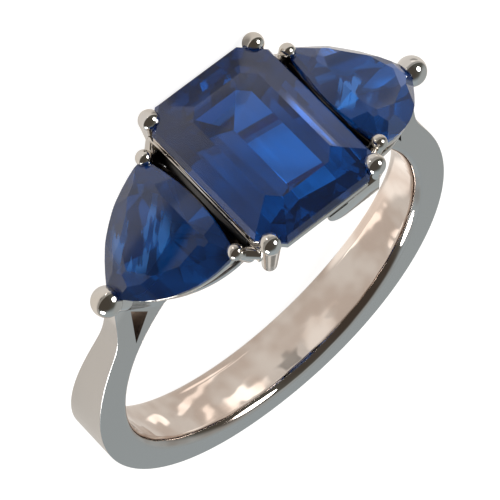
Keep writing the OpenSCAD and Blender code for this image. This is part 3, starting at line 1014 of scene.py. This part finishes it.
def sapphire(name, tint, density, haze, clouds=()):
    """Natural blue sapphire, cut and polished.

    Its high refractive index throws light back between flat facets, its body takes out all but
    blue over a few millimetres, faint straight bands of colour cross it, and in each side stone
    a cloud of silk, which is a mass of fine needles, scatters the light in pale streaks."""
    look = bpy.context.scene.ring_finish
    made, tree = new_material(name)
    place = add(tree, "ShaderNodeTexCoord").outputs["Object"]
    bands = add(tree, "ShaderNodeTexWave", {
        "Vector": place, "Scale": 1 / (GROWTH_SCALE * MM), "Distortion": 1.5, "Detail": 1.0,
    }, bands_direction="DIAGONAL").outputs["Fac"]
    pale = (*(min(1.0, c * GROWTH_PALER) for c in tint[:3]), 1.0)
    body = add(tree, "ShaderNodeMix", {"Factor": bands, "A": tint, "B": pale}, **COLOURS)
    clear = 1 - haze
    if clouds:
        mine = add(tree, "ShaderNodeMapping", ring_frame(place), vector_type="TEXTURE")
        turned = add(tree, "ShaderNodeVectorRotate", {
            "Vector": mine, "Angle": SILK_TURN,
        }, rotation_type="Z_AXIS")
        long = add(tree, "ShaderNodeVectorMath", [turned, SILK_STRETCH], operation="MULTIPLY")
        streaks = add(tree, "ShaderNodeTexNoise", {"Vector": long, "Scale": 1 / SILK_WIDTH})
        cloud = 0.0
        for middle, reach in clouds:
            off = add(tree, "ShaderNodeVectorMath", [mine, middle], operation="DISTANCE")
            near = add(tree, "ShaderNodeMapRange", [off, reach, CLOUD_CORE * reach], **SMOOTH)
            cloud = add(tree, "ShaderNodeMath", [cloud, near], operation="ADD")
        needles = add(tree, "ShaderNodeMapRange", [streaks, *SILK_START], **SMOOTH)
        needles = add(tree, "ShaderNodeMath", [needles, cloud], operation="MULTIPLY")
        body = add(tree, "ShaderNodeMix", {"Factor": needles, "A": body, "B": look.silk}, **COLOURS)
        clear = add(tree, "ShaderNodeMix", {"Factor": needles, "A": clear, "B": clear - look.silk_share})
    shader = add(tree, "ShaderNodeBsdfPrincipled", {
        "Base Color": body, "Roughness": look.stone_polish, "IOR": SAPPHIRE_IOR, "Transmission Weight": clear,
    })
    depth = add(tree, "ShaderNodeVolumeAbsorption", {"Color": look.stone_depth, "Density": density})
    add(tree, "ShaderNodeOutputMaterial", {"Surface": shader, "Volume": depth})
    return made


# The head shades the board that it rests on. The other spots are soft bright and dim ones that the
# photo's stones and metal mirror.
HEAD_SHADOW = (-0.6, -11.9, 2.2, 2.4, 0, -0.75)
LIGHT_SPOTS = (
    # place, half widths in mm, turn in degrees, and strength
    (-4.4, 2.2, 1.3, 2.4, 0, 1.1),
    (1.4, 9.1, 1.2, 0.3, 0, 1.0),
    (-0.15, 8.05, 0.6, 0.35, 0, 1.0),
    (5.0, -25.2, 1.3, 5.6, 12, 3.0),
    (-16.4, -16.05, 4.6, 1.1, 15.8, 0.6),
    (0.9, 0.4, 1.1, 2.3, 0, 0.25),
    (-1.5, -0.4, 0.8, 1.9, 0, -0.4),
    (-1.2, -20.5, 2.5, 3.0, 0, -0.3),
    (-4.6, -8.3, 1.0, 0.9, 0, 0.8),
    (17.0, -20.5, 4.0, 3.0, 0, -0.4),
    (-8.5, -0.5, 1.2, 1.2, 0, 1.3),
    (-16.6, -11.2, 5.0, 1.7, 0, -0.45),
    (-6.5, 6.9, 2.3, 1.9, 0, 0.5),
    (-3.57, 6.45, 0.6, 0.45, 0, 1.3),
    (0.95, 7.35, 0.6, 0.3, 0, 0.9),
    (0.0, 95.0, 60.0, 50.0, 0, 0.45),
)
# Where a spot starts and is full, in parts of its half widths.
SPOT_EDGE = (1.25, 0.75)


def light_spot(tree, place, x, y, half_x, half_y, turn, strength):
    """A soft edged ellipse on the floor."""
    off = add(tree, "ShaderNodeVectorMath", [place, (x, y, 0)], operation="SUBTRACT")
    turned = add(tree, "ShaderNodeVectorRotate", {
        "Vector": off, "Angle": -math.radians(turn),
    }, rotation_type="Z_AXIS")
    parts = add(tree, "ShaderNodeVectorMath", [turned, (1 / half_x, 1 / half_y, 1)], operation="MULTIPLY")
    span = add(tree, "ShaderNodeVectorMath", [parts], operation="LENGTH")
    return add(tree, "ShaderNodeMapRange", [span, *SPOT_EDGE, 0.0, strength], **SMOOTH)


# Grain and depth of the board's paper in mm.
PAPER_GRAIN = 0.3
PAPER_DEPTH = 0.01
PAPER_ROUGHNESS = 0.9


def studio_board():
    """Matt white studio board, lit from below so that the ring casts next to no shadow."""
    look = bpy.context.scene.ring_stage
    made, tree = new_material("studio_board")
    place = add(tree, "ShaderNodeVectorMath", {
        0: add(tree, "ShaderNodeTexCoord").outputs["Object"], "Scale": 1 / MM,
    }, operation="SCALE")
    grain = add(tree, "ShaderNodeTexNoise", {"Vector": place, "Scale": 1 / PAPER_GRAIN})
    bump = add(tree, "ShaderNodeBump", {"Height": grain, "Strength": 0.05, "Distance": PAPER_DEPTH * MM})
    # The board is a pool of light that fades a few centimetres from the ring.
    away = add(tree, "ShaderNodeVectorMath", [place, (*look.pool, 0)], operation="SUBTRACT")
    away = add(tree, "ShaderNodeVectorMath", [away, (1 / look.pool_width, 1, 1)], operation="MULTIPLY")
    away = add(tree, "ShaderNodeVectorMath", [away], operation="LENGTH")
    glow = add(tree, "ShaderNodeMapRange", [
        away, look.pool_start, look.pool_end, look.floor_glow, look.floor_far,
    ], **SMOOTH)
    shade = add(tree, "ShaderNodeMath", [1.0, light_spot(tree, place, *HEAD_SHADOW)], operation="ADD")
    glow = add(tree, "ShaderNodeMath", [glow, shade], operation="MULTIPLY")
    for spot in LIGHT_SPOTS:
        glow = add(tree, "ShaderNodeMath", [glow, light_spot(tree, place, *spot)], operation="ADD")
    seen = add(tree, "ShaderNodeLightPath").outputs["Is Camera Ray"]
    paper = (*(c * look.floor_paper for c in look.floor[:3]), 1.0)
    white = add(tree, "ShaderNodeMix", {
        "Factor": seen, "A": look.floor, "B": (1.0, 1.0, 1.0, 1.0),
    }, **COLOURS)
    power = add(tree, "ShaderNodeMix", {"Factor": seen, "A": glow, "B": look.floor_white})
    shader = add(tree, "ShaderNodeBsdfPrincipled", {
        "Base Color": paper, "Roughness": PAPER_ROUGHNESS, "Normal": bump, "Emission Color": white,
        "Emission Strength": power,
    })
    add(tree, "ShaderNodeOutputMaterial", {"Surface": shader})
    return made


def bring_out(item):
    """Moves an object from the workshop into the scene."""
    workshop().objects.unlink(item)
    bpy.context.scene.collection.objects.link(item)


def place_piece(item, name, finish, nodes):
    """Makes a finished mesh a piece that stands for CAD nodes."""
    item.name = item.data.name = name
    bring_out(item)
    item.data.materials.clear()
    item.data.materials.append(finish)
    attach(item, "root")
    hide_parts(*nodes)


class RING_OT_metal(bpy.types.Operator):
    """Make the mount: shank, claws, rails and walls, soldered into one solid with cut seats"""

    bl_idname = "ring.metal"
    bl_label = "Make the mount"

    def execute(self, context):
        metal = shank_object()
        combine(metal, claw_objects() + basket_objects(), "UNION")
        combine(metal, [seat_cutter(node) for node in STONES], "DIFFERENCE")
        if not metal.data.polygons:
            raise RuntimeError("the mount came out empty")
        metal.data.transform(to_row())
        for face in metal.data.polygons:
            face.use_smooth = True
        metal.data.set_sharp_from_angle(angle=SHARP_FROM)
        place_piece(metal, "ring_metal", white_gold(), ["ring_mount"])
        return {"FINISHED"}


class RING_OT_stones(bpy.types.Operator):
    """Make the three cut stones from their solids, with crisp facets"""

    bl_idname = "ring.stones"
    bl_label = "Make the stones"

    def execute(self, context):
        look = context.scene.ring_finish
        centre = sapphire("blue_sapphire", look.stone, look.stone_density, look.stone_haze)
        side = sapphire("deep_blue_sapphire", look.side_stone, look.side_density, look.side_haze, SILK_CLOUDS)
        for node, finish in zip(STONES, (centre, side, side)):
            item = stone_copy(node)
            item.data.transform(Matrix.Scale(MM, 4))
            place_piece(item, node + "_gem", finish, [node])
        return {"FINISHED"}


# Half the floor's side and the lamps' distance, in m.
FLOOR_HALF = 3.0
LAMP_DISTANCE = 0.5
LAMPS = (
    # name, azimuth, elevation, diameter in mm, share of the lamp strength
    ("left_lamp", -46, 40, 260, 0.8),
    ("right_lamp", 122, 22, 220, 1.0),
)
CEILING = "#5a5a54"
WALLS = (
    # colour, azimuth and elevation of its middle, and cosines from it where it starts and is full
    ("#a9b5bb", 180, 8, 0.05, 0.75),
    ("#adb3b4", -130, 35, 0.6, 0.95),
    ("#504b45", 45, 22, 0.35, 0.75),
)
# Light that comes up from the board, and the heights between which it starts and is full.
LOW_GLOW = "#b4ada6"
LOW_BAND = (0.05, -0.02)
# Where the camera looks and its sensor, in mm, and what it sees of, in m.
CAMERA_AIM = Vector((-0.540, 1.110, 1.524))
CAMERA_SENSOR = 36.0
CAMERA_CLIP = (0.01, 20.0)


def from_angles(azimuth, elevation):
    a, e = math.radians(azimuth), math.radians(elevation)
    return Vector((math.sin(a) * math.cos(e), -math.cos(a) * math.cos(e), math.sin(e)))


def studio_world():
    """A dim room: grey behind the ring and to the left, dark beside the camera, a dark ceiling."""
    world = bpy.data.worlds.new("studio_room")
    bpy.context.scene.world = world
    world.use_nodes = True
    tree = world.node_tree
    tree.nodes.clear()
    way = add(tree, "ShaderNodeTexCoord").outputs["Generated"]
    shade = srgb(CEILING)
    for code, azimuth, elevation, *ends in WALLS:
        middle = tuple(from_angles(azimuth, elevation))
        facing = add(tree, "ShaderNodeVectorMath", [way, middle], operation="DOT_PRODUCT")
        share = add(tree, "ShaderNodeMapRange", [facing, *ends], **SMOOTH)
        shade = add(tree, "ShaderNodeMix", {"Factor": share, "A": shade, "B": srgb(code)}, **COLOURS)
    up = add(tree, "ShaderNodeSeparateXYZ", [way]).outputs["Z"]
    low = add(tree, "ShaderNodeMapRange", [up, *LOW_BAND], **SMOOTH)
    shade = add(tree, "ShaderNodeMix", {"Factor": low, "A": shade, "B": srgb(LOW_GLOW)}, **COLOURS)
    light = add(tree, "ShaderNodeBackground", {"Color": shade, "Strength": 1.0})
    add(tree, "ShaderNodeOutputWorld", {"Surface": light})


def set_floor():
    corners = [(x * FLOOR_HALF, y * FLOOR_HALF, 0) for x, y in ((-1, -1), (1, -1), (1, 1), (-1, 1))]
    floor = object_from("floor", corners, (), [(0, 1, 2, 3)])
    bring_out(floor)
    floor.data.materials.append(studio_board())


def set_lamp(power, name, azimuth, elevation, across, share):
    """Hangs one round lamp that faces the ring."""
    lamp = bpy.data.lights.new(name, "AREA")
    lamp.shape, lamp.size = "DISK", across * MM
    # A disk of area A and radiance L gives out pi * A * L watts.
    lamp.energy = math.pi * math.pi * (across * MM / 2) ** 2 * power * share
    item = bpy.data.objects.new(name, lamp)
    item.location = from_angles(azimuth, elevation) * LAMP_DISTANCE
    item.rotation_euler = item.location.to_track_quat("Z", "Y").to_euler()
    # Seen through a perfect facet a lamp is a hard fleck, which a real stone's flaws break up.
    item.visible_transmission = False
    bpy.context.scene.collection.objects.link(item)


def set_camera(look):
    """Points the camera at the ring, at the photo's angle."""
    data = bpy.data.cameras.new("camera")
    data.lens, data.sensor_width = look.camera_lens, CAMERA_SENSOR
    data.clip_start, data.clip_end = CAMERA_CLIP
    camera = bpy.data.objects.new("camera", data)
    back = from_angles(math.degrees(look.camera_azimuth), math.degrees(look.camera_elevation))
    turn = back.to_track_quat("Z", "Y").to_matrix().to_4x4() @ Matrix.Rotation(look.camera_roll, 4, "Z")
    camera.matrix_world = Matrix.Translation(CAMERA_AIM * MM + back * look.camera_distance) @ turn
    bpy.context.scene.collection.objects.link(camera)
    bpy.context.scene.camera = camera


class RING_OT_stage(bpy.types.Operator):
    """Set the pale floor, the two lamps, the dim room and the camera"""

    bl_idname = "ring.stage"
    bl_label = "Set the stage"

    def execute(self, context):
        look = context.scene.ring_stage
        studio_world()
        context.scene.view_settings.view_transform = "Standard"
        set_floor()
        for lamp in LAMPS:
            set_lamp(look.lamp_power, *lamp)
        set_camera(look)
        return {"FINISHED"}


class RING_PT_panel(bpy.types.Panel):
    """Lists the ring's steps and sizes"""

    bl_idname = "RING_PT_panel"
    bl_label = "Ring"
    bl_space_type = "VIEW_3D"
    bl_region_type = "UI"
    bl_category = "Ring"

    def draw(self, context):
        for operator in OPERATORS:
            self.layout.operator(operator.bl_idname)
        for name, group in GROUPS.items():
            for key in group.__annotations__:
                self.layout.prop(getattr(context.scene, name), key)


OPERATORS = (RING_OT_metal, RING_OT_stones, RING_OT_stage)
GROUPS = {
    "ring_band": RingBandSizes,
    "ring_head": RingHeadSizes,
    "ring_finish": RingFinish,
    "ring_stage": RingStage,
}


def register():
    for group in (*GROUPS.values(), *OPERATORS, RING_PT_panel):
        bpy.utils.register_class(group)
    for name, group in GROUPS.items():
        setattr(bpy.types.Scene, name, PointerProperty(type=group))


def unregister():
    for name in GROUPS:
        delattr(bpy.types.Scene, name)
    for group in (RING_PT_panel, *reversed(OPERATORS), *reversed(tuple(GROUPS.values()))):
        bpy.utils.unregister_class(group)


def main():
    register()
    bpy.ops.ring.metal()
    bpy.ops.ring.stones()
    bpy.ops.ring.stage()
    bpy.data.collections.remove(workshop())


if __name__ == "__main__":
    main()
